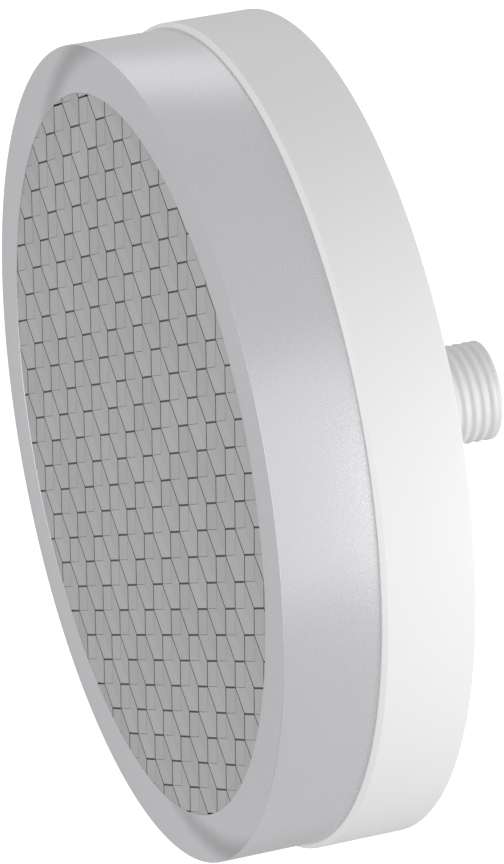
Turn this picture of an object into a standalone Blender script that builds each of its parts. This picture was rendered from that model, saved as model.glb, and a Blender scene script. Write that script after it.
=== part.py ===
"""Prism target: a round corner-cube array in a turned ring, on a cup-shaped housing with an M10 stub.

The optical axis is Y. The front faces -Y and the stub leaves the back along +Y. The origin is on
the axis, in the plane of the housing's rear face. Everything is in metres, written as MM * value.
"""

import math

import bmesh
import bpy

MM = 0.001

# Driving dimensions: distances from the rear face are counted towards the front.
TOTAL_DEPTH = 18.72 * MM         # rear face to front face
RING_RADIUS = 40.0 * MM          # outside of the grey front ring
HOUSING_RADIUS = 40.6 * MM       # outside of the white housing
OPENING_RADIUS = 35.3 * MM       # clear opening in the ring
SEAM = 9.3 * MM                  # plane where ring and housing meet
CELL_ACROSS_FLATS = 4.985 * MM   # one corner cube, seen from the front
CELL_OFFSET_X = -0.10 * MM       # middle of the cell nearest the axis, off the axis
CELL_OFFSET_Z = -0.27 * MM
STUB_LENGTH = 17.8 * MM
THREAD_MAJOR = 4.95 * MM
THREAD_MINOR = 4.6 * MM
THREAD_PITCH = 1.0 * MM
GAP = 0.3 * MM                   # clearance kept between two neighbouring pieces

# Ring: a lip holds the stack, and a thin spigot goes into the housing.
LIP_THICKNESS = 1.2 * MM
RING_BORE = 37.3 * MM
SPIGOT_RADIUS = 38.3 * MM
SPIGOT_END = 4.6 * MM

# Housing cup.
HOUSING_BORE = 38.7 * MM
FLOOR = 2.5 * MM
BOSS_RADIUS = 14.0 * MM
BOSS_HEIGHT = 4.3 * MM           # inner face of the thick middle of the floor
STUB_HOLE = 5.4 * MM
SEAL_SEAT_RADIUS = 7.3 * MM
SEAL_SEAT = 3.0 * MM

# The stack that the ring holds.
STACK_RADIUS = 37.0 * MM
PLATE_FRONT = 18.52 * MM
PLATE_SHOULDER = 16.3 * MM
PLATE_BACK = 15.5 * MM
VALLEY = 15.3 * MM               # deepest corners between the cubes
ARRAY_RADIUS = 34.4 * MM
RING_WIDTH_INNER = 35.4 * MM     # inner radius of the rings around the array
BACKING_FRONT = 10.6 * MM
BACKING_REAR = 9.1 * MM
CUSHION_FRONT = 8.8 * MM
CUSHION_REAR = 8.0 * MM
SLIP_FRONT = 7.7 * MM
SLIP_REAR = 7.3 * MM
RETAINER_FRONT = 7.0 * MM
RETAINER_REAR = 4.8 * MM
RETAINER_INNER = 33.0 * MM

# Stub flange and its fasteners.
FLANGE_RADIUS = 12.4 * MM
FLANGE_FRONT = 6.2 * MM
FLANGE_REAR = 4.6 * MM
NECK_RADIUS = 4.9 * MM
NECK_END = 0.8 * MM              # outside the rear face, where the thread starts
SCREW_CIRCLE = 9.6 * MM
SCREW_COUNT = 4
SCREW_RADIUS = 1.25 * MM
SCREW_CLEARANCE = 1.6 * MM
SCREW_HEAD_RADIUS = 2.4 * MM
SCREW_HEAD_FRONT = 8.6 * MM
SCREW_HEAD_REAR = 7.3 * MM
SCREW_TIP = 1.3 * MM
BLIND_HOLE_END = 1.0 * MM
WASHER_FRONT = 7.0 * MM
WASHER_REAR = 6.5 * MM
WASHER_INNER = 1.65 * MM
WASHER_OUTER = 2.5 * MM

OUTER_STEPS = 72
INNER_STEPS = 48
SMALL_STEPS = 16
THREAD_STEPS = 20


def clear_scene():
    for old in list(bpy.data.objects):
        bpy.data.objects.remove(old, do_unlink=True)


def material(name, colour, roughness, metallic):
    made = bpy.data.materials.new(name)
    made.use_nodes = True
    shader = made.node_tree.nodes["Principled BSDF"]
    shader.inputs["Base Color"].default_value = (*colour, 1.0)
    shader.inputs["Roughness"].default_value = roughness
    shader.inputs["Metallic"].default_value = metallic
    return made


def finish_object(name, bm, finish):
    """Turns the bmesh into a named object with its material, faces outwards, round parts smooth."""
    bmesh.ops.recalc_face_normals(bm, faces=bm.faces)
    mesh = bpy.data.meshes.new(name)
    bm.to_mesh(mesh)
    bm.free()
    mesh.shade_smooth()
    mesh.set_sharp_from_angle(angle=math.radians(30))
    mesh.materials.append(finish)
    made = bpy.data.objects.new(name, mesh)
    bpy.context.scene.collection.objects.link(made)
    return made


def merge_doubles(bm):
    bmesh.ops.remove_doubles(bm, verts=bm.verts, dist=0.001 * MM)


def spin_profile(bm, profile, closed, steps):
    """Turns (radius, distance in front of the rear face) points about the axis."""
    corners = [bm.verts.new((radius, -depth, 0.0)) for radius, depth in profile]
    edges = [bm.edges.new(pair) for pair in zip(corners, corners[1:])]
    if closed:
        edges.append(bm.edges.new((corners[-1], corners[0])))
    bmesh.ops.spin(
        bm, geom=corners + edges, cent=(0, 0, 0), axis=(0, 1, 0), angle=math.tau, steps=steps
    )
    merge_doubles(bm)


def turned(name, profile, finish, steps=INNER_STEPS):
    """A turned piece: a profile that starts and ends on the axis is a disc or shaft, and any other
    is closed into a ring."""
    bm = bmesh.new()
    on_axis = profile[0][0] == 0.0 and profile[-1][0] == 0.0
    spin_profile(bm, profile, not on_axis, steps)
    return finish_object(name, bm, finish)


def square_ring(name, inner, outer, front, rear, finish, steps=INNER_STEPS):
    profile = [(inner, front), (outer, front), (outer, rear), (inner, rear)]
    return turned(name, profile, finish, steps)


def disc(name, radius, front, rear, finish):
    return turned(name, [(0.0, front), (radius, front), (radius, rear), (0.0, rear)], finish)


def o_ring(name, middle_radius, depth, cord_radius, finish, steps):
    sides = 8
    profile = []
    for i in range(sides):
        turn = math.tau * (i + 0.5) / sides
        profile.append((middle_radius + cord_radius * math.cos(turn), depth + cord_radius * math.sin(turn)))
    return turned(name, profile, finish, steps)


def rod_cutter(name, radius, front, rear, x, z, steps=SMALL_STEPS):
    """A hidden round cutter along Y."""
    bm = bmesh.new()
    bmesh.ops.create_cone(
        bm, cap_ends=True, segments=steps, radius1=radius, radius2=radius, depth=front - rear
    )
    cutter = finish_object(name, bm, FINISH["steel"])
    cutter.rotation_euler = (math.radians(90), 0, 0)
    cutter.location = (x, -(front + rear) / 2, z)
    hide(cutter)
    return cutter


def box_cutter(name, size, location, turn):
    """A hidden block, turned about Y."""
    bm = bmesh.new()
    bmesh.ops.create_cube(bm, size=1.0)
    bmesh.ops.scale(bm, vec=size, verts=bm.verts)
    cutter = finish_object(name, bm, FINISH["steel"])
    cutter.location = location
    cutter.rotation_euler = (0, turn, 0)
    hide(cutter)
    return cutter


def hide(cutter):
    cutter.hide_render = True
    cutter.display_type = "WIRE"


def cut(piece, cutter, operation="DIFFERENCE"):
    modifier = piece.modifiers.new(cutter.name, "BOOLEAN")
    modifier.operation = operation
    modifier.object = cutter


def screw_places():
    """The places of the flange screws around the axis, as (x, z, angle)."""
    places = []
    for i in range(SCREW_COUNT):
        turn = math.tau * (i + 0.5) / SCREW_COUNT
        places.append((SCREW_CIRCLE * math.cos(turn), SCREW_CIRCLE * math.sin(turn), turn))
    return places


def bezel_ring():
    edge = 0.15 * MM
    spigot_edge = 0.3 * MM
    profile = [
        (OPENING_RADIUS, TOTAL_DEPTH - edge),
        (OPENING_RADIUS + edge, TOTAL_DEPTH),
        (RING_RADIUS - edge, TOTAL_DEPTH),
        (RING_RADIUS, TOTAL_DEPTH - edge),
        (RING_RADIUS, SEAM + GAP / 2),
        (SPIGOT_RADIUS, SEAM + GAP / 2),
        (SPIGOT_RADIUS, SPIGOT_END + spigot_edge),
        (SPIGOT_RADIUS - spigot_edge, SPIGOT_END),
        (RING_BORE, SPIGOT_END),
        (RING_BORE, TOTAL_DEPTH - LIP_THICKNESS),
        (OPENING_RADIUS, TOTAL_DEPTH - LIP_THICKNESS),
    ]
    turned("bezel_ring", profile, FINISH["ring"], OUTER_STEPS)


def housing():
    edge = 0.2 * MM
    profile = [
        (STUB_HOLE, 0.0),
        (HOUSING_RADIUS - edge, 0.0),
        (HOUSING_RADIUS, edge),
        (HOUSING_RADIUS, SEAM - GAP / 2 - edge),
        (HOUSING_RADIUS - edge, SEAM - GAP / 2),
        (HOUSING_BORE, SEAM - GAP / 2),
        (HOUSING_BORE, FLOOR),
        (BOSS_RADIUS, FLOOR),
        (BOSS_RADIUS, BOSS_HEIGHT),
        (SEAL_SEAT_RADIUS, BOSS_HEIGHT),
        (SEAL_SEAT_RADIUS, SEAL_SEAT),
        (STUB_HOLE, SEAL_SEAT),
    ]
    cup = turned("housing", profile, FINISH["housing"], OUTER_STEPS)
    for number, (x, z, _) in enumerate(screw_places(), 1):
        cut(cup, rod_cutter(f"cut_blind_{number}", SCREW_CLEARANCE, BOSS_HEIGHT + MM, BLIND_HOLE_END, x, z))


def cell_centres(reach):
    """Centres (x, z) of the upright hexagons whose corners all lie within reach of the axis."""
    corner = CELL_ACROSS_FLATS / math.sqrt(3)
    count = int(reach / CELL_ACROSS_FLATS) + 2
    centres = []
    for row in range(-count, count + 1):
        z = CELL_OFFSET_Z + row * 1.5 * corner
        shift = 0.5 * (row % 2)
        for column in range(-count, count + 1):
            x = CELL_OFFSET_X + (column + shift) * CELL_ACROSS_FLATS
            if math.hypot(x, z) + corner <= reach:
                centres.append((x, z))
    return centres


def cube_array(bm):
    """Adds the back of the prism plate: cubes standing on their corners, three square faces to a
    cell, and the wall around them down to the plate's flat rim.

    In each cell the tip is rearmost, three of the hexagon's corners lie one step in front of it,
    and the other three lie two steps in front."""
    corner = CELL_ACROSS_FLATS / math.sqrt(3)
    step = corner / math.sqrt(2)
    tip = VALLEY - 2 * step
    for x, z in cell_centres(ARRAY_RADIUS):
        rim = []
        for i in range(6):
            turn = math.radians(30 + 60 * i)
            depth = tip + step * (2 - i % 2)
            rim.append(bm.verts.new((x + corner * math.cos(turn), -depth, z + corner * math.sin(turn))))
        middle = bm.verts.new((x, -tip, z))
        for i in (0, 2, 4):
            bm.faces.new((middle, rim[i - 1], rim[i], rim[i + 1]))
    merge_doubles(bm)
    border = [edge for edge in bm.edges if edge.is_boundary]
    walls = bmesh.ops.extrude_edge_only(bm, edges=border)["geom"]
    for item in walls:
        if isinstance(item, bmesh.types.BMVert):
            item.co.y = -PLATE_BACK


def prism_plate():
    """A turned plate, open at the back, whose flat rim is filled in around the cube corners."""
    front_radius = OPENING_RADIUS - GAP
    profile = [
        (STACK_RADIUS, PLATE_BACK),
        (STACK_RADIUS, PLATE_SHOULDER),
        (front_radius, PLATE_SHOULDER),
        (front_radius, PLATE_FRONT),
        (0.0, PLATE_FRONT),
    ]
    bm = bmesh.new()
    cube_array(bm)
    spin_profile(bm, profile, closed=False, steps=OUTER_STEPS)
    rim = [edge for edge in bm.edges if edge.is_boundary]
    bmesh.ops.triangle_fill(bm, use_beauty=True, edges=rim, normal=(0.0, 1.0, 0.0))
    finish_object("prism_plate", bm, FINISH["prism"])


def clamped_stack():
    """The rings and the disc that hold the prism plate in its ring, front to back."""
    lip_rear = TOTAL_DEPTH - LIP_THICKNESS
    square_ring(
        "front_seal", OPENING_RADIUS + GAP, STACK_RADIUS, lip_rear - GAP, PLATE_SHOULDER + GAP, FINISH["rubber"]
    )
    square_ring(
        "spacer_ring", RING_WIDTH_INNER, STACK_RADIUS, PLATE_BACK - GAP, BACKING_FRONT + GAP, FINISH["spacer"]
    )
    disc("backing_disc", STACK_RADIUS, BACKING_FRONT, BACKING_REAR, FINISH["backing"])
    square_ring("rear_cushion", RING_WIDTH_INNER, STACK_RADIUS, CUSHION_FRONT, CUSHION_REAR, FINISH["rubber"])
    square_ring("slip_washer", RING_WIDTH_INNER, STACK_RADIUS, SLIP_FRONT, SLIP_REAR, FINISH["steel"])


def retaining_ring():
    """A ring with four slots in its rear face for a pin spanner."""
    slot_width = 3.0 * MM
    slot_depth = 1.0 * MM
    ring = square_ring(
        "retaining_ring", RETAINER_INNER, STACK_RADIUS, RETAINER_FRONT, RETAINER_REAR, FINISH["ring"]
    )
    middle = (RETAINER_INNER + STACK_RADIUS) / 2
    for number in range(4):
        turn = math.tau * (number + 0.5) / 4
        place = (middle * math.cos(turn), -RETAINER_REAR, -middle * math.sin(turn))
        cut(ring, box_cutter(f"cut_slot_{number + 1}", (10 * MM, 2 * slot_depth, slot_width), place, turn))


def seals():
    o_ring("bezel_o_ring", 37.7 * MM, (SPIGOT_END + FLOOR) / 2, 0.7 * MM, FINISH["rubber"], INNER_STEPS)
    o_ring("stub_o_ring", 6.35 * MM, 3.8 * MM, 0.5 * MM, FINISH["rubber"], 32)


def thread_radius(turns):
    """The thread's radius at a place counted in turns along the helix: flat crest, sloped flanks."""
    wave = abs(2 * (turns % 1.0) - 1.0)
    slope = min(max((wave - 0.1) / 0.75, 0.0), 1.0)
    return THREAD_MINOR + (THREAD_MAJOR - THREAD_MINOR) * slope


def threaded_stub():
    """A flange inside the housing, a plain neck through its floor, and a helical thread outside."""
    tip_chamfer = 0.8 * MM
    thread_end = STUB_LENGTH - tip_chamfer
    row_height = THREAD_PITCH / 4
    rows = [(-FLANGE_REAR - 0.5 * MM, None), (NECK_END, None)]
    for i in range(1, round((thread_end - NECK_END) / row_height)):
        rows.append((NECK_END + i * row_height, i * row_height / THREAD_PITCH))
    bm = bmesh.new()
    rings = []
    for y, turns in rows:
        ring = []
        for i in range(THREAD_STEPS):
            part = i / THREAD_STEPS
            radius = NECK_RADIUS if turns is None else thread_radius(turns + part)
            x = radius * math.cos(math.tau * part)
            z = radius * math.sin(math.tau * part)
            ring.append(bm.verts.new((x, y, z)))
        rings.append(ring)
    for y, radius in ((thread_end, THREAD_MINOR), (STUB_LENGTH, THREAD_MINOR - tip_chamfer / 2)):
        turns = [math.tau * i / THREAD_STEPS for i in range(THREAD_STEPS)]
        rings.append([bm.verts.new((radius * math.cos(t), y, radius * math.sin(t))) for t in turns])
    for lower, upper in zip(rings, rings[1:]):
        for i in range(THREAD_STEPS):
            j = (i + 1) % THREAD_STEPS
            bm.faces.new((lower[i], lower[j], upper[j]))
            bm.faces.new((lower[i], upper[j], upper[i]))
    bm.faces.new(rings[0])
    bm.faces.new(rings[-1])
    shaft = finish_object("cut_stub_shaft", bm, FINISH["stub"])
    hide(shaft)
    stub = disc("threaded_stub", FLANGE_RADIUS, FLANGE_FRONT, FLANGE_REAR, FINISH["stub"])
    for number, (x, z, _) in enumerate(screw_places(), 1):
        cutter = rod_cutter(f"cut_flange_{number}", SCREW_CLEARANCE, FLANGE_FRONT + MM, FLANGE_REAR - MM, x, z)
        cut(stub, cutter)
    cut(stub, shaft, "UNION")


def flange_fasteners():
    """Socket-head screws through the flange, each on a split spring washer."""
    screw_profile = [
        (0.0, SCREW_HEAD_FRONT),
        (SCREW_HEAD_RADIUS - 0.2 * MM, SCREW_HEAD_FRONT),
        (SCREW_HEAD_RADIUS, SCREW_HEAD_FRONT - 0.3 * MM),
        (SCREW_HEAD_RADIUS, SCREW_HEAD_REAR),
        (SCREW_RADIUS, SCREW_HEAD_REAR),
        (SCREW_RADIUS, SCREW_TIP + 0.4 * MM),
        (SCREW_RADIUS - 0.4 * MM, SCREW_TIP),
        (0.0, SCREW_TIP),
    ]
    socket_depth = 0.8 * MM
    for number, (x, z, turn) in enumerate(screw_places(), 1):
        screw = turned(f"flange_screw_{number}", screw_profile, FINISH["steel"], SMALL_STEPS)
        screw.location = (x, 0.0, z)
        socket_end = SCREW_HEAD_FRONT - socket_depth
        cut(screw, rod_cutter(f"cut_socket_{number}", 1.1 * MM, SCREW_HEAD_FRONT + MM, socket_end, x, z, 6))
        washer = square_ring(
            f"lock_washer_{number}",
            WASHER_INNER,
            WASHER_OUTER,
            WASHER_FRONT,
            WASHER_REAR,
            FINISH["steel"],
            SMALL_STEPS,
        )
        washer.location = (x, 0.0, z)
        out = SCREW_CIRCLE + WASHER_OUTER
        split_place = (out * math.cos(turn), -(WASHER_FRONT + WASHER_REAR) / 2, out * math.sin(turn))
        cut(washer, box_cutter(f"cut_split_{number}", (2.5 * MM, MM, 0.5 * MM), split_place, -turn))


clear_scene()
FINISH = {
    "ring": material("satin_ring", (0.47, 0.47, 0.48), 0.42, 0.8),
    "housing": material("white_housing", (0.82, 0.82, 0.83), 0.5, 0.0),
    "prism": material("prism_grey", (0.38, 0.38, 0.39), 0.35, 0.0),
    "stub": material("satin_stub", (0.62, 0.62, 0.63), 0.4, 0.8),
    "spacer": material("spacer_black", (0.03, 0.03, 0.03), 0.6, 0.0),
    "backing": material("backing_grey", (0.25, 0.25, 0.26), 0.6, 0.0),
    "rubber": material("seal_rubber", (0.02, 0.02, 0.02), 0.8, 0.0),
    "steel": material("fastener_steel", (0.55, 0.55, 0.56), 0.35, 1.0),
}
bezel_ring()
housing()
prism_plate()
clamped_stack()
retaining_ring()
seals()
threaded_stub()
flange_fasteners()
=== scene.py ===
"""Looks of the prism target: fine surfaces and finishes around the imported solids.

Run as a script. Everything is in metres.
"""

import math

import bmesh
import bpy
from mathutils import Matrix, Vector


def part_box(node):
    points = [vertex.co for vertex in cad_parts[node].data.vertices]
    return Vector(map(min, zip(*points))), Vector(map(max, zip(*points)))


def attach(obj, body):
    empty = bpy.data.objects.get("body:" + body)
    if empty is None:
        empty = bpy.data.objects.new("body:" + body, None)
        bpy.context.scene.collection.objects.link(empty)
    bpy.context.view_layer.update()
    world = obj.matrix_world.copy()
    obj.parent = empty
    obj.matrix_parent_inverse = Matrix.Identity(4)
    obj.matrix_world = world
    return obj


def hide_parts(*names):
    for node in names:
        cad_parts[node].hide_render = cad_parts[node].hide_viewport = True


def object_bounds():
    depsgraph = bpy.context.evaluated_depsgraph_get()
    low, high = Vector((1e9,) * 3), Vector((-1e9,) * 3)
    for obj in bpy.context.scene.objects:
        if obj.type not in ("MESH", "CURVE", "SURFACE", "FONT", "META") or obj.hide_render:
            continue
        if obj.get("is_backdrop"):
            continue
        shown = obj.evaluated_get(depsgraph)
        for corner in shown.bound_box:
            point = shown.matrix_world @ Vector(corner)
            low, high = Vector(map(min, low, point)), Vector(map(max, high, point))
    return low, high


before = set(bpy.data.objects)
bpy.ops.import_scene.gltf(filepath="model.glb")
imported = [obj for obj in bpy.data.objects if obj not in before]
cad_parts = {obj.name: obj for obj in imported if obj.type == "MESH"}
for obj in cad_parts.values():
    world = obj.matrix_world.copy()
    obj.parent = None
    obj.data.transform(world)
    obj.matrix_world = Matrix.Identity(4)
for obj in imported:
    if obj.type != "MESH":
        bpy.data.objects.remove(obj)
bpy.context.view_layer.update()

bl_info = {
    "name": "Prism Target",
    "version": (1, 0, 0),
    "blender": (4, 5, 0),
    "location": "3D View > Sidebar > Prism Target",
    "description": "Builds a round corner-cube prism target with a threaded stub around its packed solids",
    "category": "Object",
}

MM = 0.001
FACE_RADIUS = 40.0 * MM
# Where the two fans of painted shade lie on the front ring's face.
FAN_DIAMETER = math.radians(32.0)
FAN_ANGLE = math.radians(77.5)
FAN_LEAN = math.radians(4.9) / MM
FAN_HALF_WIDTH = math.radians(11.0)
FAN_FADE = 4.5 * MM
FINE_STEPS = 288
MIDDLE_STEPS = 144
SMALL_STEPS = 48


# ---------------------------------------------------------------- sizes read from the frame

def radius_of(node):
    """Outer radius of a node that is round about the Y axis."""
    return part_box(node)[1].x


def front_of(node):
    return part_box(node)[0].y


def rear_of(node):
    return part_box(node)[1].y


def linear(code):
    """An sRGB hex colour as linear red, green and blue."""
    channels = [int(code[i:i + 2], 16) / 255 for i in (0, 2, 4)]
    return tuple(c / 12.92 if c <= 0.04045 else ((c + 0.055) / 1.055) ** 2.4 for c in channels)


# ---------------------------------------------------------------- properties

class PrismSizes(bpy.types.PropertyGroup):
    """Sizes that a user would change."""

    cell_across_flats: bpy.props.FloatProperty(
        name="Cell Across Flats", description="Width of one corner cube between two opposite sides",
        default=4.985 * MM, unit="LENGTH", precision=5)
    cell_seam: bpy.props.FloatProperty(
        name="Cell Seam", description="Width of the dark seam between two cells",
        default=0.19 * MM, unit="LENGTH", precision=5)
    facet_seam: bpy.props.FloatProperty(
        name="Facet Seam", description="Width of the fine line between two faces of one cube",
        default=0.04 * MM, unit="LENGTH", precision=6)
    facet_fall: bpy.props.FloatProperty(
        name="Facet Fall", description="How much lower a cube's middle lies than its outer corners",
        default=0.05 * MM, unit="LENGTH", precision=6)
    edge_radius: bpy.props.FloatProperty(
        name="Edge Radius", description="Rounding of the spigot's end and the housing's inner corners",
        default=0.3 * MM, unit="LENGTH", precision=5)
    stub_pitch: bpy.props.FloatProperty(
        name="Stub Pitch", description="Travel of the stub's thread in one turn",
        default=1.0 * MM, unit="LENGTH", precision=5)
    bezel_pitch: bpy.props.FloatProperty(
        name="Bezel Pitch", description="Travel of the front ring's thread in one turn",
        default=1.5 * MM, unit="LENGTH", precision=5)


class PrismColours(bpy.types.PropertyGroup):
    """Colours that a user would change."""

    ring: bpy.props.FloatVectorProperty(
        name="Ring", description="Blasted and anodised aluminium of the front ring",
        subtype="COLOR", size=3, min=0, max=1, default=linear("DFDFE2"))
    stub: bpy.props.FloatVectorProperty(
        name="Stub", description="Machined aluminium of the threaded stub",
        subtype="COLOR", size=3, min=0, max=1, default=linear("DCDCDD"))
    housing: bpy.props.FloatVectorProperty(
        name="Housing", description="White moulded plastic of the housing",
        subtype="COLOR", size=3, min=0, max=1, default=linear("E8E8E9"))
    prism: bpy.props.FloatVectorProperty(
        name="Prism", description="Silvered back of the corner cubes, seen through clear plastic",
        subtype="COLOR", size=3, min=0, max=1, default=linear("B7B5B7"))
    seam: bpy.props.FloatVectorProperty(
        name="Seam", description="Seams between the cells, where light is lost",
        subtype="COLOR", size=3, min=0, max=1, default=linear("69696C"))
    rubber: bpy.props.FloatVectorProperty(
        name="Rubber", description="Seals and cushions",
        subtype="COLOR", size=3, min=0, max=1, default=linear("1E1E20"))


def sizes():
    return bpy.context.scene.prism_sizes


def colours():
    return bpy.context.scene.prism_colours


# ---------------------------------------------------------------- nodes and materials

def add_node(tree, kind, values=None, **settings):
    """Adds a node. settings are its properties; values maps an input's name or number to a
    value or to another node's output."""
    made = tree.nodes.new(kind)
    for name, value in settings.items():
        setattr(made, name, value)
    for key, value in (values or {}).items():
        if isinstance(value, bpy.types.NodeSocket):
            tree.links.new(value, made.inputs[key])
        else:
            made.inputs[key].default_value = value
    return made


def maths(tree, operation, first, second=0.0, third=0.0, clamp=False):
    values = {0: first, 1: second, 2: third}
    return add_node(tree, "ShaderNodeMath", values, operation=operation, use_clamp=clamp).outputs[0]


def new_material(name):
    """A material with only its Principled shader, and that shader."""
    made = bpy.data.materials.new(name)
    made.use_nodes = True
    return made, made.node_tree.nodes["Principled BSDF"]


def mix_input(node, name):
    return next(socket for socket in node.inputs if socket.name == name and socket.type == "RGBA")


def shade(tree, colour, factor, low, high):
    """The colour multiplied by a grey that runs from low to high with the factor."""
    scale = add_node(tree, "ShaderNodeMapRange", {"Value": factor, "To Min": low, "To Max": high})
    mix = add_node(tree, "ShaderNodeMix", {0: 1.0}, data_type="RGBA", blend_type="MULTIPLY")
    mix_input(mix, "A").default_value = (*colour, 1.0)
    tree.links.new(scale.outputs["Result"], mix_input(mix, "B"))
    return next(socket for socket in mix.outputs if socket.type == "RGBA")


def object_place(tree):
    return add_node(tree, "ShaderNodeTexCoord").outputs["Object"]


def noise(tree, place, size, detail=2.0, roughness=0.5):
    """Noise whose blotches are about size across."""
    return add_node(
        tree, "ShaderNodeTexNoise",
        {"Vector": place, "Scale": 1.0 / size, "Detail": detail, "Roughness": roughness}).outputs["Fac"]


def bump(tree, shader, height, depth):
    made = add_node(tree, "ShaderNodeBump", {"Height": height, "Distance": depth, "Strength": 1.0})
    tree.links.new(made.outputs["Normal"], shader.inputs["Normal"])


def range_to(tree, factor, low, high, socket):
    scale = add_node(tree, "ShaderNodeMapRange", {"Value": factor, "To Min": low, "To Max": high})
    tree.links.new(scale.outputs["Result"], socket)


def blasted_aluminium(name, colour):
    """Aluminium, glass-bead blasted and clear anodised: an even satin grey with fine glints."""
    made, shader = new_material(name)
    tree = made.node_tree
    place = object_place(tree)
    grain = noise(tree, place, 0.22 * MM, 3.0, 0.6)
    cloud = noise(tree, place, 6.0 * MM)
    mixed = maths(tree, "ADD", maths(tree, "MULTIPLY", grain, 0.6), maths(tree, "MULTIPLY", cloud, 0.4))
    tree.links.new(shade(tree, colour, mixed, 0.94, 1.04), shader.inputs["Base Color"])
    range_to(tree, grain, 0.22, 0.34, shader.inputs["Roughness"])
    shader.inputs["Metallic"].default_value = 0.8
    bump(tree, shader, grain, 0.01 * MM)
    return made


def faced_aluminium(name, colour):
    """Aluminium faced on a lathe, then lightly blasted: a satin grey with fine circles round the
    axis and two soft dark fans of painted shade, on opposite sides, standing in for tool marks turned from
    the light."""
    made, shader = new_material(name)
    tree = made.node_tree
    place = object_place(tree)
    axes = add_node(tree, "ShaderNodeSeparateXYZ", {0: place})
    radius = maths(tree, "SQRT", maths(tree, "ADD", maths(tree, "POWER", axes.outputs["X"], 2.0),
                                       maths(tree, "POWER", axes.outputs["Z"], 2.0)))
    turn = maths(tree, "ARCTAN2", axes.outputs["Z"], axes.outputs["X"])
    # The fans of painted shade stand on both sides of one diameter, lean further from it towards the
    # opening and are deepest at the rim.
    past_diameter = maths(tree, "WRAP", maths(tree, "SUBTRACT", turn, FAN_DIAMETER), math.pi, -math.pi)
    from_diameter = maths(tree, "ABSOLUTE", past_diameter)
    inwards = maths(tree, "SUBTRACT", FACE_RADIUS, radius)
    lean = maths(tree, "MULTIPLY_ADD", inwards, FAN_LEAN, FAN_ANGLE)
    off_fan = maths(tree, "ABSOLUTE", maths(tree, "SUBTRACT", from_diameter, lean))
    deepest = add_node(tree, "ShaderNodeMapRange", {
        "Value": inwards, "From Min": 0.0, "From Max": FAN_FADE,
        "To Min": 0.0, "To Max": 0.3}).outputs["Result"]
    painted_fan_shade = add_node(tree, "ShaderNodeMapRange", {
        "Value": off_fan, "From Min": 0.0, "From Max": FAN_HALF_WIDTH, "To Min": deepest, "To Max": 1.0},
        interpolation_type="SMOOTHSTEP").outputs["Result"]
    grain = noise(tree, place, 0.16 * MM, 3.0, 0.6)
    ray = add_node(tree, "ShaderNodeCombineXYZ", {
        "X": maths(tree, "COSINE", turn), "Y": maths(tree, "SINE", turn)})
    streaks = noise(tree, ray.outputs[0], 0.05, 3.0, 0.6)
    # The fans darken the base colour as painted shade; the streaks and the grain are the metal's own tone.
    mixed = maths(tree, "ADD", maths(tree, "MULTIPLY", painted_fan_shade, 0.74), maths(
        tree, "ADD", maths(tree, "MULTIPLY", streaks, 0.13), maths(tree, "MULTIPLY", grain, 0.13)))
    tree.links.new(shade(tree, colour, mixed, 0.56, 1.0), shader.inputs["Base Color"])
    range_to(tree, grain, 0.3, 0.42, shader.inputs["Roughness"])
    shader.inputs["Metallic"].default_value = 0.8
    shader.inputs["Anisotropic"].default_value = 0.5
    tangent = add_node(tree, "ShaderNodeTangent", direction_type="RADIAL", axis="Y")
    tree.links.new(tangent.outputs[0], shader.inputs["Tangent"])
    grooves = maths(tree, "SINE", maths(tree, "MULTIPLY", radius, math.tau / (0.12 * MM)))
    bump(tree, shader, maths(tree, "ADD", maths(tree, "MULTIPLY", grooves, 0.15), grain), 0.008 * MM)
    return made


def moulded_plastic(name, colour, roughness):
    """Moulded plastic from a finely eroded tool: satin, with a faint even grain."""
    made, shader = new_material(name)
    tree = made.node_tree
    place = object_place(tree)
    grain = noise(tree, place, 0.25 * MM)
    tree.links.new(shade(tree, colour, grain, 0.985, 1.015), shader.inputs["Base Color"])
    range_to(tree, grain, roughness - 0.05, roughness + 0.05, shader.inputs["Roughness"])
    shader.inputs["IOR"].default_value = 1.53
    bump(tree, shader, grain, 0.006 * MM)
    return made


def silvered_cubes(name, colour):
    """Acrylic cube faces silvered behind: each face an even grey, with painted shade by its place in the
    cube, and a soft gloss.
    """
    made, shader = new_material(name)
    tree = made.node_tree
    place = object_place(tree)
    painted_facet_shade = add_node(tree, "ShaderNodeAttribute", attribute_name="painted_facet_shade").outputs["Fac"]
    cell_tone = add_node(tree, "ShaderNodeAttribute", attribute_name="cell_tone").outputs["Fac"]
    haze = noise(tree, place, 1.2 * MM, 3.0, 0.5)
    # Painted shade of the cube's three faces, added to the random tone of each cell.
    facet_shade_and_cell_tone = maths(tree, "MULTIPLY", maths(tree, "ADD", painted_facet_shade, cell_tone), 0.4)
    mixed = maths(tree, "ADD", facet_shade_and_cell_tone, maths(tree, "MULTIPLY", haze, 0.2))
    tree.links.new(shade(tree, colour, mixed, 0.91, 1.09), shader.inputs["Base Color"])
    range_to(tree, haze, 0.42, 0.5, shader.inputs["Roughness"])
    shader.inputs["Metallic"].default_value = 0.3
    shader.inputs["IOR"].default_value = 1.49
    return made


def seam_dark(name, colour):
    """The bottoms and walls of the seams between cubes: matt and dark, because no light comes back."""
    made, shader = new_material(name)
    tree = made.node_tree
    fleck = noise(tree, object_place(tree), 0.4 * MM)
    tree.links.new(shade(tree, colour, fleck, 0.85, 1.15), shader.inputs["Base Color"])
    shader.inputs["Roughness"].default_value = 0.8
    shader.inputs["Specular IOR Level"].default_value = 0.1
    return made


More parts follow.
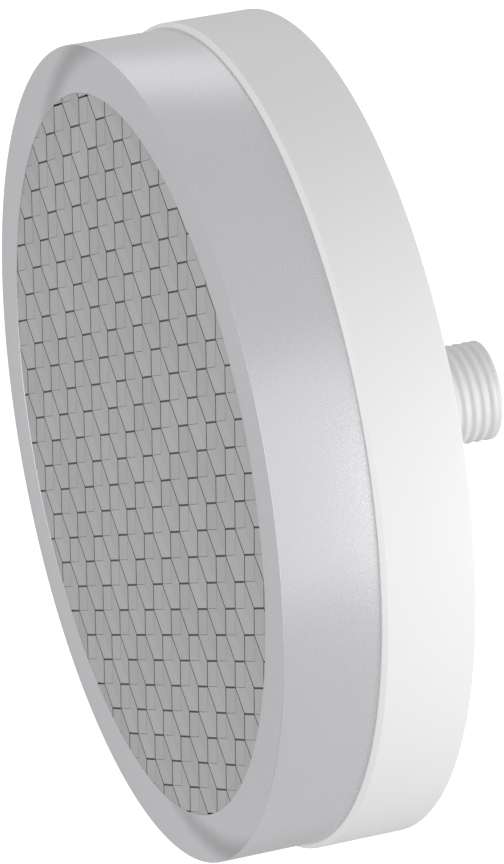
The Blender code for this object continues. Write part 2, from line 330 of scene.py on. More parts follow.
def machined_aluminium(name, colour):
    """Aluminium turned and lightly blasted: pale satin metal with faint lines round the axis."""
    made, shader = new_material(name)
    tree = made.node_tree
    place = object_place(tree)
    stretched = add_node(tree, "ShaderNodeMapping", {"Vector": place, "Scale": (1.0, 9.0, 1.0)}).outputs[0]
    lines = noise(tree, stretched, 0.5 * MM, 3.0, 0.6)
    tree.links.new(shade(tree, colour, lines, 0.94, 1.06), shader.inputs["Base Color"])
    range_to(tree, lines, 0.5, 0.62, shader.inputs["Roughness"])
    shader.inputs["Metallic"].default_value = 0.15
    bump(tree, shader, lines, 0.004 * MM)
    return made


def nitrile_rubber(name, colour):
    """Moulded nitrile rubber: near black and matt, with a fine bloom."""
    made, shader = new_material(name)
    tree = made.node_tree
    bloom = noise(tree, object_place(tree), 0.8 * MM, 4.0, 0.6)
    tree.links.new(shade(tree, colour, bloom, 0.8, 1.4), shader.inputs["Base Color"])
    range_to(tree, bloom, 0.6, 0.8, shader.inputs["Roughness"])
    bump(tree, shader, bloom, 0.01 * MM)
    return made


def stainless_steel(name):
    """Stainless steel as drawn and headed: bright, with short fine scratches."""
    made, shader = new_material(name)
    tree = made.node_tree
    scratches = noise(tree, object_place(tree), 0.12 * MM, 4.0, 0.7)
    tree.links.new(shade(tree, linear("C4C2BE"), scratches, 0.9, 1.08), shader.inputs["Base Color"])
    range_to(tree, scratches, 0.2, 0.38, shader.inputs["Roughness"])
    shader.inputs["Metallic"].default_value = 1.0
    bump(tree, shader, scratches, 0.003 * MM)
    return made


# ---------------------------------------------------------------- shapes

def rounded(corners, arc_steps=6):
    """Turns corners (radius, y, rounding) into profile points, with an arc at each rounded corner."""
    points = []
    for i, (r, y, rounding) in enumerate(corners):
        if rounding == 0:
            points.append((r, y))
            continue
        here = Vector((r, y))
        before = (Vector(corners[i - 1][:2]) - here).normalized()
        after = (Vector(corners[(i + 1) % len(corners)][:2]) - here).normalized()
        half = math.acos(max(-1.0, min(1.0, before.dot(after)))) / 2
        centre = here + (before + after).normalized() * rounding / math.sin(half)
        start = here + before * rounding / math.tan(half) - centre
        end = here + after * rounding / math.tan(half) - centre
        sweep = start.angle_signed(end)
        for step in range(arc_steps + 1):
            spoke = start.copy()
            spoke.rotate(Matrix.Rotation(-sweep * step / arc_steps, 2))
            points.append(tuple(centre + spoke))
    return points


def even_rows(start, end, spacing):
    """Values between start and end, both left out, evenly spaced."""
    count = max(1, round(abs(end - start) / spacing))
    return [start + (end - start) * i / count for i in range(1, count)]


def turned(name, profile, material, steps=FINE_STEPS, smooth_angle=35):
    """A piece turned about Y from profile points (radius, y). A profile from axis to axis is a
    solid of turning, and any other is closed into a ring."""
    bm = bmesh.new()
    points = [bm.verts.new((radius, y, 0.0)) for radius, y in profile]
    edges = [bm.edges.new(pair) for pair in zip(points, points[1:])]
    if profile[0][0] > 0 or profile[-1][0] > 0:
        edges.append(bm.edges.new((points[-1], points[0])))
    bmesh.ops.spin(bm, geom=points + edges, cent=(0, 0, 0), axis=(0, 1, 0), angle=math.tau, steps=steps)
    bmesh.ops.remove_doubles(bm, verts=bm.verts, dist=0.0005 * MM)
    bmesh.ops.recalc_face_normals(bm, faces=bm.faces)
    mesh = bpy.data.meshes.new(name)
    bm.to_mesh(mesh)
    bm.free()
    mesh.materials.append(material)
    made = bpy.data.objects.new(name, mesh)
    bpy.context.scene.collection.objects.link(made)
    smooth(made, smooth_angle)
    return made


def smooth(piece, angle=35):
    piece.data.shade_smooth()
    piece.data.set_sharp_from_angle(angle=math.radians(angle))


def apply_modifiers(piece):
    """Replaces the piece's mesh with its evaluated mesh and removes its modifiers."""
    bpy.context.view_layer.update()
    result = bpy.data.meshes.new_from_object(piece.evaluated_get(bpy.context.evaluated_depsgraph_get()))
    piece.modifiers.clear()
    piece.data = result
    piece.data.name = piece.name


def run_tree(piece, tree, values):
    """Runs a geometry node tree on the piece with its named inputs set, and keeps the plain mesh."""
    modifier = piece.modifiers.new(tree.name, "NODES")
    modifier.node_group = tree
    for item in tree.interface.items_tree:
        if item.in_out == "INPUT" and item.name in values:
            modifier[item.identifier] = values[item.name]
    apply_modifiers(piece)


def new_tree(name, inputs):
    """A geometry node tree with named inputs, given as (name, socket type), and its two ends."""
    tree = bpy.data.node_groups.new(name, "GeometryNodeTree")
    tree.interface.new_socket("Geometry", in_out="INPUT", socket_type="NodeSocketGeometry")
    tree.interface.new_socket("Geometry", in_out="OUTPUT", socket_type="NodeSocketGeometry")
    for label, kind in inputs:
        tree.interface.new_socket(label, in_out="INPUT", socket_type=kind)
    return tree, add_node(tree, "NodeGroupInput").outputs, add_node(tree, "NodeGroupOutput")


def thread_tree():
    """Cuts a right-hand thread about Y into the points that lie on one radius between two ends."""
    tree, given, out = new_tree("Cut Thread", [
        ("Start", "NodeSocketFloat"), ("End", "NodeSocketFloat"), ("Radius", "NodeSocketFloat"),
        ("Depth", "NodeSocketFloat"), ("Pitch", "NodeSocketFloat"), ("Material", "NodeSocketMaterial")])
    place = add_node(tree, "GeometryNodeInputPosition").outputs[0]
    axes = add_node(tree, "ShaderNodeSeparateXYZ", {0: place}).outputs
    radius = maths(tree, "SQRT", maths(tree, "ADD", maths(tree, "POWER", axes["X"], 2.0),
                                       maths(tree, "POWER", axes["Z"], 2.0)))
    turn = maths(tree, "DIVIDE", maths(tree, "ARCTAN2", axes["Z"], axes["X"]), math.tau)
    phase = maths(tree, "FRACT", maths(tree, "ADD", maths(tree, "DIVIDE", axes["Y"], given["Pitch"]), turn))
    wave = maths(tree, "ABSOLUTE", maths(tree, "MULTIPLY_ADD", phase, 2.0, -1.0))
    groove = add_node(tree, "ShaderNodeMapRange", {"Value": wave, "From Min": 0.95, "From Max": 0.05},
                      interpolation_type="SMOOTHSTEP").outputs["Result"]
    past_start = maths(tree, "SUBTRACT", axes["Y"], given["Start"])
    before_end = maths(tree, "SUBTRACT", given["End"], axes["Y"])
    rise = maths(tree, "DIVIDE", past_start, given["Pitch"], clamp=True)
    fall = maths(tree, "DIVIDE", before_end, given["Pitch"], clamp=True)
    depth = maths(tree, "MULTIPLY", maths(tree, "MULTIPLY", groove, given["Depth"]),
                  maths(tree, "MULTIPLY", rise, fall))
    factor = maths(tree, "DIVIDE", maths(tree, "SUBTRACT", radius, depth), radius)
    moved = add_node(tree, "ShaderNodeCombineXYZ", {
        "X": maths(tree, "MULTIPLY", axes["X"], factor), "Y": axes["Y"],
        "Z": maths(tree, "MULTIPLY", axes["Z"], factor)}).outputs[0]
    near = maths(tree, "COMPARE", radius, given["Radius"], 0.01 * MM)
    inside = maths(tree, "MULTIPLY", maths(tree, "GREATER_THAN", axes["Y"], given["Start"]),
                   maths(tree, "LESS_THAN", axes["Y"], given["End"]))
    chosen = maths(tree, "MULTIPLY", near, inside)
    cut = add_node(tree, "GeometryNodeSetPosition",
                   {"Geometry": given["Geometry"], "Selection": chosen, "Position": moved})
    solid = add_node(tree, "GeometryNodeRealizeInstances", {0: cut.outputs[0]})
    painted = add_node(tree, "GeometryNodeSetMaterial", {
        "Geometry": solid.outputs[0], "Selection": chosen, "Material": given["Material"]})
    tree.links.new(painted.outputs[0], out.inputs[0])
    return tree


def cell_tree():
    """Lays corner cubes, each three flat faces that fall to its middle, in a honeycomb inside a circle."""
    tree, given, out = new_tree("Corner Cube Cells", [
        ("Across Flats", "NodeSocketFloat"), ("Cell Seam", "NodeSocketFloat"),
        ("Facet Seam", "NodeSocketFloat"), ("Facet Fall", "NodeSocketFloat"),
        ("Radius", "NodeSocketFloat"), ("Top", "NodeSocketFloat"), ("Thickness", "NodeSocketFloat"),
        ("Rows", "NodeSocketInt"), ("Offset", "NodeSocketVector"),
        ("Face Material", "NodeSocketMaterial"), ("Seam Material", "NodeSocketMaterial")])
    flats = given["Across Flats"]
    corner = maths(tree, "DIVIDE", flats, math.sqrt(3))
    # One rhombic face is a four-sided prism, its short diagonal along X, shrunk by the seams. The
    # middle one of the three has the wider seams, because its cube edges are moulded less sharp.
    blank = add_node(tree, "GeometryNodeMeshCylinder", {
        "Vertices": 4, "Radius": 1.0, "Depth": 1.0}, fill_type="NGON").outputs["Mesh"]
    tilt = maths(tree, "DIVIDE", given["Facet Fall"], corner)
    face_turn = add_node(tree, "ShaderNodeCombineXYZ", {
        "Y": maths(tree, "MULTIPLY", tilt, -1.0)}).outputs[0]
    join = add_node(tree, "GeometryNodeJoinGeometry")
    for i, share in enumerate((0.3, 1.7, 0.3)):
        facet_seam = maths(tree, "MULTIPLY", given["Facet Seam"], share)
        seams = maths(tree, "ADD", given["Cell Seam"], facet_seam)
        shrink = maths(tree, "SUBTRACT", 1.0, maths(tree, "DIVIDE", seams, flats))
        face_size = add_node(tree, "ShaderNodeCombineXYZ", {
            "X": maths(tree, "MULTIPLY", maths(tree, "MULTIPLY", corner, 0.5), shrink),
            "Y": maths(tree, "MULTIPLY", maths(tree, "MULTIPLY", flats, 0.5), shrink),
            "Z": given["Thickness"]}).outputs[0]
        back = maths(tree, "DIVIDE", maths(tree, "SUBTRACT", given["Cell Seam"], facet_seam),
                     4 * math.cos(math.radians(30)))
        out_by = maths(tree, "SUBTRACT", maths(tree, "MULTIPLY", corner, 0.5), back)
        face_place = add_node(tree, "ShaderNodeCombineXYZ", {"X": out_by}).outputs[0]
        face = add_node(tree, "GeometryNodeTransform", {
            "Geometry": blank, "Scale": face_size, "Rotation": face_turn,
            "Translation": face_place}).outputs[0]
        # Each of the three faces gets a fixed painted shade value (0, 0.5 or 1) by its turn in the cube.
        face_with_painted_shade = add_node(tree, "GeometryNodeStoreNamedAttribute", {
            "Geometry": face, "Name": "painted_facet_shade", "Value": i / 2},
            data_type="FLOAT", domain="FACE").outputs[0]
        spun = add_node(tree, "GeometryNodeTransform", {
            "Geometry": face_with_painted_shade, "Rotation": (0.0, 0.0, math.radians(30 + 120 * i))}).outputs[0]
        tree.links.new(spun, join.inputs[0])
    # A grid of points, every second row shifted by half a cell.
    rows = given["Rows"]
    span = maths(tree, "SUBTRACT", rows, 1.0)
    grid = add_node(tree, "GeometryNodeMeshGrid", {
        "Size X": maths(tree, "MULTIPLY", span, maths(tree, "MULTIPLY", corner, 1.5)),
        "Size Y": maths(tree, "MULTIPLY", span, flats),
        "Vertices X": rows, "Vertices Y": rows}).outputs["Mesh"]
    index = add_node(tree, "GeometryNodeInputIndex").outputs[0]
    row = maths(tree, "FLOOR", maths(tree, "DIVIDE", maths(tree, "ADD", index, 0.5), rows))
    middle_row = maths(tree, "DIVIDE", span, 2.0)
    odd = maths(tree, "FLOORED_MODULO", maths(tree, "SUBTRACT", row, middle_row), 2.0)
    place = add_node(tree, "GeometryNodeInputPosition").outputs[0]
    grid_axes = add_node(tree, "ShaderNodeSeparateXYZ", {0: place}).outputs
    shift = maths(tree, "MULTIPLY", maths(tree, "MULTIPLY", odd, flats), 0.5)
    shifted = add_node(tree, "ShaderNodeCombineXYZ", {
        "X": maths(tree, "ADD", grid_axes["Y"], shift), "Y": grid_axes["X"]}).outputs[0]
    honeycomb = add_node(tree, "GeometryNodeSetPosition", {
        "Geometry": grid, "Position": shifted, "Offset": given["Offset"]}).outputs[0]
    away = add_node(tree, "ShaderNodeVectorMath", {0: place}, operation="LENGTH").outputs["Value"]
    too_far = maths(tree, "GREATER_THAN", away, maths(tree, "ADD", given["Radius"], corner))
    kept = add_node(tree, "GeometryNodeDeleteGeometry", {"Geometry": honeycomb, "Selection": too_far},
                    domain="POINT").outputs[0]
    placed = add_node(tree, "GeometryNodeInstanceOnPoints", {
        "Points": kept, "Instance": join.outputs[0]}).outputs[0]
    cell_tone = add_node(tree, "FunctionNodeRandomValue", {"Seed": 7}, data_type="FLOAT")
    toned = add_node(tree, "GeometryNodeStoreNamedAttribute", {
        "Geometry": placed, "Name": "cell_tone", "Value": cell_tone.outputs[1]},
        data_type="FLOAT", domain="INSTANCE").outputs[0]
    cells = add_node(tree, "GeometryNodeRealizeInstances", {0: toned}).outputs[0]
    circle = add_node(tree, "GeometryNodeMeshCylinder", {
        "Vertices": 256, "Radius": given["Radius"],
        "Depth": maths(tree, "MULTIPLY", given["Thickness"], 6.0)}, fill_type="NGON").outputs["Mesh"]
    clipped = add_node(tree, "GeometryNodeMeshBoolean", {"Mesh 2": cells}, operation="INTERSECT")
    tree.links.new(circle, clipped.inputs["Mesh 2"])
    # The cells are laid out flat and looking up; they are turned to look along -Y.
    top_place = add_node(tree, "ShaderNodeCombineXYZ", {
        "Y": maths(tree, "ADD", given["Top"], maths(tree, "MULTIPLY", given["Thickness"], 0.5))}).outputs[0]
    stood = add_node(tree, "GeometryNodeTransform", {
        "Geometry": clipped.outputs[0], "Rotation": (math.radians(90), 0.0, 0.0),
        "Translation": top_place}).outputs[0]
    seam_all = add_node(tree, "GeometryNodeSetMaterial", {
        "Geometry": stood, "Material": given["Seam Material"]}).outputs[0]
    normal = add_node(tree, "GeometryNodeInputNormal").outputs[0]
    along_y = add_node(tree, "ShaderNodeSeparateXYZ", {0: normal}).outputs["Y"]
    looks_front = maths(tree, "LESS_THAN", along_y, -0.9)
    faced = add_node(tree, "GeometryNodeSetMaterial", {
        "Geometry": seam_all, "Selection": looks_front, "Material": given["Face Material"]})
    tree.links.new(faced.outputs[0], out.inputs[0])
    return tree


def ring_tree():
    """Copies a piece that stands on the Y axis to evenly spaced places round that axis."""
    tree, given, out = new_tree("Ring Of Fasteners", [
        ("Count", "NodeSocketInt"), ("Circle Radius", "NodeSocketFloat"),
        ("Material", "NodeSocketMaterial")])
    circle = add_node(tree, "GeometryNodeMeshCircle", {
        "Vertices": given["Count"], "Radius": given["Circle Radius"]})
    half_step = maths(tree, "DIVIDE", math.pi, given["Count"])
    turn = add_node(tree, "ShaderNodeCombineXYZ", {"X": math.radians(90), "Y": half_step}).outputs[0]
    places = add_node(tree, "GeometryNodeTransform", {
        "Geometry": circle.outputs[0], "Rotation": turn}).outputs[0]
    copies = add_node(tree, "GeometryNodeInstanceOnPoints", {
        "Points": places, "Instance": given["Geometry"]})
    solid = add_node(tree, "GeometryNodeRealizeInstances", {0: copies.outputs[0]})
    painted = add_node(tree, "GeometryNodeSetMaterial", {
        "Geometry": solid.outputs[0], "Material": given["Material"]})
    tree.links.new(painted.outputs[0], out.inputs[0])
    return tree


def rod(radius, start, end, x=0.0, z=0.0, steps=SMALL_STEPS):
    """A round bar along Y, for cutting."""
    bm = bmesh.new()
    bmesh.ops.create_cone(
        bm, cap_ends=True, segments=steps, radius1=radius, radius2=radius, depth=end - start)
    bm.transform(Matrix.Translation((x, (start + end) / 2, z)) @ Matrix.Rotation(math.radians(-90), 4, "X"))
    return loose(bm, "rod")


def block(size, place, turn):
    """A block turned about Y, for cutting."""
    bm = bmesh.new()
    bmesh.ops.create_cube(bm, size=1.0)
    bm.transform(Matrix.Translation(place) @ Matrix.Rotation(turn, 4, "Y") @ Matrix.Diagonal((*size, 1.0)))
    return loose(bm, "block")


def loose(bm, name):
    mesh = bpy.data.meshes.new(name)
    bm.to_mesh(mesh)
    bm.free()
    made = bpy.data.objects.new(name, mesh)
    bpy.context.scene.collection.objects.link(made)
    return made


def subtract(piece, cutters):
    """Cuts the bars and blocks out of the piece and removes them."""
    for cutter in cutters:
        modifier = piece.modifiers.new("cut", "BOOLEAN")
        modifier.operation = "DIFFERENCE"
        modifier.object = cutter
    apply_modifiers(piece)
    for cutter in cutters:
        bpy.data.objects.remove(cutter)
    smooth(piece)


# ---------------------------------------------------------------- sizes of the turned pieces

OPENING_RADIUS = 35.3 * MM
LIP_THICKNESS = 1.2 * MM
RING_BORE = 37.3 * MM
SPIGOT_RADIUS = 38.3 * MM
HOUSING_BORE = 38.7 * MM
FLOOR = 2.5 * MM
BOSS_RADIUS = 14.0 * MM
BOSS_HEIGHT = 4.3 * MM
STUB_HOLE = 5.4 * MM
SEAL_SEAT_RADIUS = 7.3 * MM
SEAL_SEAT = 3.0 * MM
SEAM_GAP = 0.005 * MM
RIM = 0.42 * MM
BEZEL_THREAD_DEPTH = 0.5 * MM
STUB_RADIUS = 4.95 * MM
STUB_THREAD_DEPTH = 0.2 * MM
CELL_OFFSET = (-0.10 * MM, -0.27 * MM, 0.0)
CELL_STANDS_OUT = 0.12 * MM
CELL_THICKNESS = 0.16 * MM
STACK_INNER = 35.4 * MM
RETAINER_INNER = 33.0 * MM
SCREW_CIRCLE = 9.6 * MM
SCREW_COUNT = 4
SCREW_RADIUS = 1.25 * MM
SCREW_CLEARANCE = 1.6 * MM


def screw_places():
    places = []
    for i in range(SCREW_COUNT):
        turn = math.tau * (i + 0.5) / SCREW_COUNT
        places.append((SCREW_CIRCLE * math.cos(turn), SCREW_CIRCLE * math.sin(turn)))
    return places


def place_piece(piece, body, slot, *nodes):
    """Makes the piece ride on its body and stand for its CAD nodes."""
    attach(piece, body)
    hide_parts(*nodes)


# ---------------------------------------------------------------- operators

class PRISM_OT_bezel_ring(bpy.types.Operator):
    """Turn the front ring: lip, faced front, blasted side and threaded spigot"""

    bl_idname = "prism.bezel_ring"
    bl_label = "Front Ring"

    def execute(self, context):
        edge = sizes().edge_radius
        pitch = sizes().bezel_pitch
        front = front_of("bezel_ring")
        end = rear_of("bezel_ring")
        outer = radius_of("bezel_ring")
        shoulder = front_of("housing") - SEAM_GAP
        corners = [(OPENING_RADIUS, front, 0.08 * MM), (outer, front, 0.06 * MM),
                   (outer, shoulder, 0.02 * MM), (SPIGOT_RADIUS, shoulder, 0)]
        corners += [(SPIGOT_RADIUS, y, 0) for y in even_rows(shoulder, end - edge, pitch / 16)]
        corners += [(SPIGOT_RADIUS, end, edge), (RING_BORE, end, 0.1 * MM),
                    (RING_BORE, front + LIP_THICKNESS, 0), (OPENING_RADIUS, front + LIP_THICKNESS, 0)]
        blasted = blasted_aluminium("Blasted Anodised Aluminium", colours().ring)
        ring = turned("front_ring", rounded(corners), blasted)
        run_tree(ring, thread_tree(), {
            "Start": shoulder + 0.2 * MM, "End": end - edge, "Radius": SPIGOT_RADIUS,
            "Depth": BEZEL_THREAD_DEPTH, "Pitch": pitch,
            "Material": machined_aluminium("Thread-Cut Aluminium", colours().stub)})
        ring.data.materials.append(faced_aluminium("Faced Anodised Aluminium", colours().ring))
        face_slot = len(ring.data.materials) - 1
        for face in ring.data.polygons:
            if face.normal.y < -0.9 and face.center.y < front + edge:
                face.material_index = face_slot
        smooth(ring)
        place_piece(ring, "bezel", "ring", "bezel_ring")
        return {"FINISHED"}


class PRISM_OT_cube_cells(bpy.types.Operator):
    """Lay the honeycomb of corner cubes in the front of the prism plate"""

    bl_idname = "prism.cube_cells"
    bl_label = "Prism Cells"

    def execute(self, context):
        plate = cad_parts["prism_plate"]
        seam = seam_dark("Seam Between Cubes", colours().seam)
        plate.data.materials.clear()
        plate.data.materials.append(seam)
        cells = loose(bmesh.new(), "prism_cells")
        flats = sizes().cell_across_flats
        reach = OPENING_RADIUS - 0.01 * MM
        half_rows = int(reach / (flats * math.sqrt(3) / 2)) + 3
        run_tree(cells, cell_tree(), {
            "Across Flats": flats, "Cell Seam": sizes().cell_seam, "Facet Seam": sizes().facet_seam,
            "Facet Fall": sizes().facet_fall, "Radius": reach,
            "Top": front_of("prism_plate") - CELL_STANDS_OUT, "Thickness": CELL_THICKNESS,
            "Rows": 2 * half_rows + 1, "Offset": CELL_OFFSET,
            "Face Material": silvered_cubes("Silvered Acrylic Cubes", colours().prism),
            "Seam Material": seam})
        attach(cells, "bezel")
        return {"FINISHED"}


class PRISM_OT_housing(bpy.types.Operator):
    """Mould the white cup with its boss, its seal seat and the ring's thread"""

    bl_idname = "prism.housing"
    bl_label = "Housing"

    def execute(self, context):
        edge = sizes().edge_radius
        pitch = sizes().bezel_pitch
        outer = radius_of("housing")
        front = front_of("housing")
        thread_end = rear_of("bezel_ring") + 0.2 * MM
        corners = [(STUB_HOLE, 0, 0.2 * MM), (outer, 0, 0.2 * MM), (outer, front + RIM, 0.04 * MM),
                   (outer - RIM, front, 0.04 * MM), (HOUSING_BORE, front, 0.1 * MM)]
        corners += [(HOUSING_BORE, y, 0) for y in even_rows(front + edge, thread_end, pitch / 16)]
        corners += [(HOUSING_BORE, -FLOOR, edge), (BOSS_RADIUS, -FLOOR, edge),
                    (BOSS_RADIUS, -BOSS_HEIGHT, edge), (SEAL_SEAT_RADIUS, -BOSS_HEIGHT, 0.1 * MM),
                    (SEAL_SEAT_RADIUS, -SEAL_SEAT, 0), (STUB_HOLE, -SEAL_SEAT, 0)]
        white = moulded_plastic("White Moulded ABS", colours().housing, 0.42)
        cup = turned("housing_cup", rounded(corners), white)
        run_tree(cup, thread_tree(), {
            "Start": front + edge, "End": thread_end, "Radius": HOUSING_BORE,
            "Depth": -BEZEL_THREAD_DEPTH, "Pitch": pitch, "Material": white})
        # The front rim of the cup gets a lighter, glossier white: a painted highlight along its front edge.
        cup.data.materials.append(moulded_plastic("White ABS, Painted Highlight Rim", linear("F7F7F7"), 0.3))
        highlight_rim_slot = len(cup.data.materials) - 1
        for face in cup.data.polygons:
            if face.normal.y < -0.5 and face.center.y < front + RIM and face.center.xz.length > outer - MM:
                face.material_index = highlight_rim_slot
        subtract(cup, [rod(SCREW_CLEARANCE, -BOSS_HEIGHT - MM, -1.0 * MM, x, z) for x, z in screw_places()])
        place_piece(cup, "housing", "housing", "housing")
        return {"FINISHED"}


class PRISM_OT_threaded_stub(bpy.types.Operator):
    """Turn the flanged stub and cut its thread"""

    bl_idname = "prism.threaded_stub"
    bl_label = "Threaded Stub"

    def execute(self, context):
        pitch = sizes().stub_pitch
        tip = rear_of("threaded_stub")
        front = front_of("threaded_stub")
        flange = radius_of("threaded_stub")
        flange_rear = front + 1.6 * MM
        thread_start = 0.3 * MM
        thread_end = tip - 0.35 * MM
        corners = [(0, front, 0), (flange, front, 0.2 * MM), (flange, flange_rear, 0.2 * MM),
                   (STUB_RADIUS, flange_rear, 0), (STUB_RADIUS, thread_start, 0)]
        corners += [(STUB_RADIUS, y, 0) for y in even_rows(thread_start, thread_end, pitch / 14)]
        corners += [(STUB_RADIUS, tip, 0.3 * MM), (0, tip, 0)]
        metal = machined_aluminium("Machined Aluminium", colours().stub)
        stub = turned("flanged_stub", rounded(corners), metal, steps=96, smooth_angle=50)
        run_tree(stub, thread_tree(), {
            "Start": thread_start, "End": thread_end, "Radius": STUB_RADIUS,
            "Depth": STUB_THREAD_DEPTH, "Pitch": pitch, "Material": metal})
        holes = [rod(SCREW_CLEARANCE, front - MM, flange_rear + MM, x, z, 32) for x, z in screw_places()]
        subtract(stub, holes)
        place_piece(stub, "housing", "stub", "threaded_stub")
        return {"FINISHED"}


class PRISM_OT_clamped_stack(bpy.types.Operator):
    """Make the flat rings and the disc that hold the prism plate in its ring"""

    bl_idname = "prism.clamped_stack"
    bl_label = "Clamped Stack"

    def execute(self, context):
        rubber = nitrile_rubber("Nitrile Rubber", colours().rubber)
        black = moulded_plastic("Black Moulded Acetal", linear("202022"), 0.5)
        grey = moulded_plastic("Grey Sheet Backing", linear("8A8A8C"), 0.6)
        steel = stainless_steel("Stainless Washer")
        rings = [
            ("front_seal", OPENING_RADIUS + 0.3 * MM, rubber, "rubber", 0.12 * MM),
            ("spacer_ring", STACK_INNER, black, "spacer", 0.2 * MM),
            ("backing_disc", 0.0, grey, "backing", 0.2 * MM),
            ("rear_cushion", STACK_INNER, rubber, "rubber", 0.2 * MM),
            ("slip_washer", STACK_INNER, steel, "steel", 0.08 * MM),
        ]
        for node, inner, material, slot, rounding in rings:
            outer, front, rear = radius_of(node), front_of(node), rear_of(node)
            inner_rounding = rounding if inner else 0
            corners = [(inner, front, inner_rounding), (outer, front, rounding),
                       (outer, rear, rounding), (inner, rear, inner_rounding)]
            piece = turned(f"{node}_fine", rounded(corners), material, MIDDLE_STEPS)
            place_piece(piece, "bezel", slot, node)
        return {"FINISHED"}


class PRISM_OT_retaining_ring(bpy.types.Operator):
    """Turn the ring that clamps the stack and mill its spanner slots"""

    bl_idname = "prism.retaining_ring"
    bl_label = "Retaining Ring"

    def execute(self, context):
        node = "retaining_ring"
        outer, front, rear = radius_of(node), front_of(node), rear_of(node)
        edge = 0.2 * MM
        corners = [(RETAINER_INNER, front, edge), (outer, front, edge), (outer, rear, edge),
                   (RETAINER_INNER, rear, edge)]
        metal = blasted_aluminium("Blasted Aluminium Retainer", colours().ring)
        ring = turned("retaining_ring_fine", rounded(corners), metal, MIDDLE_STEPS)
        middle = (RETAINER_INNER + outer) / 2
        slots = []
        for i in range(4):
            turn = math.tau * (i + 0.5) / 4
            place = (middle * math.cos(turn), rear, -middle * math.sin(turn))
            slots.append(block((10 * MM, 2 * MM, 3 * MM), place, turn))
        subtract(ring, slots)
        place_piece(ring, "bezel", "ring", node)
        return {"FINISHED"}


class PRISM_OT_o_rings(bpy.types.Operator):
    """Mould the two O-rings"""

    bl_idname = "prism.o_rings"
    bl_label = "O-Rings"

    def execute(self, context):
        rubber = nitrile_rubber("Nitrile O-Ring", colours().rubber)
        turns = [math.tau * i / 20 for i in range(20)]
        seals = (("bezel_o_ring", "bezel_seal", 0.7 * MM), ("stub_o_ring", "housing", 0.5 * MM))
        for node, body, cord in seals:
            middle = radius_of(node) - cord * math.cos(math.pi / 8)
            y = (front_of(node) + rear_of(node)) / 2
            reach = cord * 0.98
            profile = [(middle + reach * math.cos(turn), y + reach * math.sin(turn)) for turn in turns]
            piece = turned(f"{node}_fine", profile, rubber, MIDDLE_STEPS, smooth_angle=80)
            place_piece(piece, body, "rubber", node)
        return {"FINISHED"}


class PRISM_OT_fasteners(bpy.types.Operator):
    """Make the flange screws and the split washers under their heads"""

    bl_idname = "prism.fasteners"
    bl_label = "Flange Fasteners"

    def execute(self, context):
        steel = stainless_steel("Stainless Fastener")
        ring = ring_tree()
        ring_values = {"Count": SCREW_COUNT, "Circle Radius": SCREW_CIRCLE, "Material": steel}
        front = front_of("flange_screw_1")
        tip = rear_of("flange_screw_1")
        head_radius = 2.4 * MM
        head_rear = front + 1.3 * MM
        corners = [(0, front, 0), (head_radius, front, 0.25 * MM), (head_radius, head_rear, 0.08 * MM),
                   (SCREW_RADIUS, head_rear, 0)]
        corners += [(SCREW_RADIUS, y, 0) for y in even_rows(head_rear, tip - 0.3 * MM, 0.055 * MM)]
        corners += [(SCREW_RADIUS, tip, 0.3 * MM), (0, tip, 0)]
        screw = turned("flange_screws", rounded(corners), steel, 32, smooth_angle=50)
        run_tree(screw, thread_tree(), {
            "Start": head_rear + MM, "End": tip - 0.3 * MM, "Radius": SCREW_RADIUS,
            "Depth": 0.24 * MM, "Pitch": 0.45 * MM, "Material": steel})
        subtract(screw, [rod(1.1 * MM, front - MM, front + 0.8 * MM, steps=6)])
        run_tree(screw, ring, ring_values)
        smooth(screw, 50)
        place_piece(screw, "housing", "steel", *[f"flange_screw_{i + 1}" for i in range(SCREW_COUNT)])
        washer = self.split_washer(steel)
        run_tree(washer, ring, ring_values)
        smooth(washer)
        place_piece(washer, "housing", "steel", *[f"lock_washer_{i + 1}" for i in range(SCREW_COUNT)])
        return {"FINISHED"}

    def split_washer(self, steel):
        """A spring washer: a square wire bent once round, its two ends a little apart."""
        front, rear = front_of("lock_washer_1"), rear_of("lock_washer_1")
        inner, outer = 1.65 * MM, 2.5 * MM
        thickness = (rear - front) * 0.8
        lift = (rear - front) - thickness
        steps = 40
        opening = math.radians(14)
        bm = bmesh.new()
        sections = []
        for i in range(steps + 1):
            turn = opening / 2 + (math.tau - opening) * i / steps
            low = front + lift * i / steps
            square = [(inner, low), (outer, low), (outer, low + thickness), (inner, low + thickness)]
            sections.append([bm.verts.new((r * math.cos(turn), y, r * math.sin(turn))) for r, y in square])
        for near, far in zip(sections, sections[1:]):
            for j in range(4):
                bm.faces.new((near[j], near[(j + 1) % 4], far[(j + 1) % 4], far[j]))
        bm.faces.new(sections[0])
        bm.faces.new(sections[-1])
        bmesh.ops.recalc_face_normals(bm, faces=bm.faces)
        washer = loose(bm, "lock_washers")
        washer.data.materials.append(steel)
        return washer


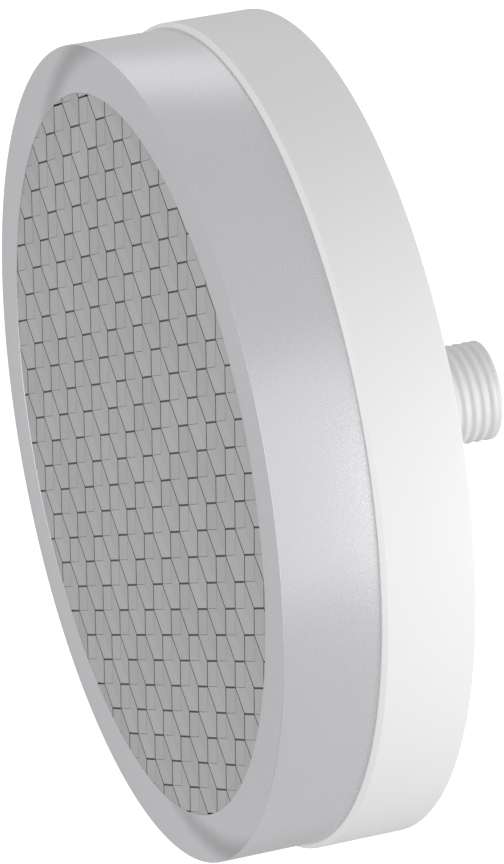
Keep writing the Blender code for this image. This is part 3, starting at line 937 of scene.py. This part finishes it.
class PRISM_OT_stage(bpy.types.Operator):
    """Set the pale floor, the soft studio light and the camera"""

    bl_idname = "prism.stage"
    bl_label = "Stage"

    def execute(self, context):
        self.floor()
        self.lights(context.scene)
        self.camera(context.scene)
        return {"FINISHED"}

    def floor(self):
        size = 6.0
        drop = 0.16
        bm = bmesh.new()
        bmesh.ops.create_grid(bm, x_segments=1, y_segments=1, size=size / 2)
        bm.transform(Matrix.Translation((0, 0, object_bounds()[0][2] - drop)))
        floor = loose(bm, "floor")
        paper, shader = new_material("White Paper")
        fibre = noise(paper.node_tree, object_place(paper.node_tree), 3 * MM)
        paper.node_tree.links.new(
            shade(paper.node_tree, linear("FBFBFB"), fibre, 0.99, 1.01), shader.inputs["Base Color"])
        shader.inputs["Roughness"].default_value = 0.9
        shader.inputs["Emission Color"].default_value = (1.0, 1.0, 1.0, 1.0)
        shader.inputs["Emission Strength"].default_value = 0.55
        floor.data.materials.append(paper)
        # Lit from behind like a light table, and it casts nothing back on the object.
        floor.visible_diffuse = False
        floor.visible_glossy = False
        floor.visible_shadow = False
        floor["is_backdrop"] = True

    def area_light(self, name, place, size, radiance):
        light = bpy.data.lights.new(name, "AREA")
        light.shape = "RECTANGLE"
        light.size, light.size_y = size
        light.energy = radiance * math.pi * size[0] * size[1]
        lamp = bpy.data.objects.new(name, light)
        lamp.location = place
        lamp.visible_camera = False
        lamp.rotation_euler = (-Vector(place)).to_track_quat("-Z", "Y").to_euler()
        bpy.context.scene.collection.objects.link(lamp)

    def lights(self, scene):
        world = bpy.data.worlds.new("Studio")
        world.use_nodes = True
        back = world.node_tree.nodes["Background"]
        back.inputs["Color"].default_value = (1.0, 1.0, 1.0, 1.0)
        # The room is even, but darker low down behind the left side and low down in front.
        way = add_node(world.node_tree, "ShaderNodeTexCoord").outputs["Generated"]
        strength = 0.62
        dark_ways = (((-0.72, 0.31, -0.62), 0.87, 0.77), ((0.35, -0.6, -0.72), 0.72, 0.5))
        for dark_way, start, share in dark_ways:
            nearness = add_node(world.node_tree, "ShaderNodeVectorMath", {0: way, 1: dark_way},
                                operation="DOT_PRODUCT").outputs["Value"]
            fading = add_node(world.node_tree, "ShaderNodeMapRange", {
                "Value": nearness, "From Min": start, "From Max": 0.99, "To Max": share, "To Min": 1.0})
            strength = maths(world.node_tree, "MULTIPLY", fading.outputs["Result"], strength)
        world.node_tree.links.new(strength, back.inputs["Strength"])
        scene.world = world
        self.area_light("side_softbox", (1.0, 0.4, 0.3), (1.0, 1.3), 0.23)
        self.area_light("front_panel", (0.4, -0.9, 0.0), (1.1, 1.0), 1.05)
        self.area_light("rear_softbox", (0.165, 0.145, 0.005), (0.05, 0.16), 9.0)
        self.area_light("back_strip", (-0.82, 0.31, 0.46), (0.9, 0.4), 0.37)
        scene.view_settings.view_transform = "Standard"

    def camera(self, scene):
        azimuth, elevation = math.radians(69.2), math.radians(29.7)
        distance = 0.5522
        aim = Vector((2.9, -7.7, 1.9)) * MM
        level = math.cos(elevation)
        direction = Vector((math.sin(azimuth) * level, -math.cos(azimuth) * level, math.sin(elevation)))
        data = bpy.data.cameras.new("camera")
        data.lens = 238.6
        data.clip_start = 0.01
        camera = bpy.data.objects.new("camera", data)
        camera.location = aim + direction * distance
        camera.rotation_euler = (-direction).to_track_quat("-Z", "Y").to_euler()
        scene.collection.objects.link(camera)
        scene.camera = camera


class PRISM_PT_panel(bpy.types.Panel):
    """Lists the pieces of the prism target"""

    bl_idname = "PRISM_PT_panel"
    bl_label = "Prism Target"
    bl_space_type = "VIEW_3D"
    bl_region_type = "UI"
    bl_category = "Prism Target"

    def draw(self, context):
        for group in (context.scene.prism_sizes, context.scene.prism_colours):
            for name in group.bl_rna.properties.keys():
                if name not in ("rna_type", "name"):
                    self.layout.prop(group, name)
        for operator in OPERATORS:
            self.layout.operator(operator.bl_idname)


OPERATORS = (
    PRISM_OT_bezel_ring, PRISM_OT_cube_cells, PRISM_OT_housing, PRISM_OT_threaded_stub,
    PRISM_OT_clamped_stack, PRISM_OT_retaining_ring, PRISM_OT_o_rings, PRISM_OT_fasteners, PRISM_OT_stage,
)
CLASSES = (PrismSizes, PrismColours, *OPERATORS, PRISM_PT_panel)


def register():
    for cls in CLASSES:
        bpy.utils.register_class(cls)
    bpy.types.Scene.prism_sizes = bpy.props.PointerProperty(type=PrismSizes)
    bpy.types.Scene.prism_colours = bpy.props.PointerProperty(type=PrismColours)


def unregister():
    del bpy.types.Scene.prism_colours
    del bpy.types.Scene.prism_sizes
    for cls in reversed(CLASSES):
        bpy.utils.unregister_class(cls)


def main():
    register()
    for operator in OPERATORS:
        group, name = operator.bl_idname.split(".")
        getattr(getattr(bpy.ops, group), name)()


if __name__ == "__main__":
    main()
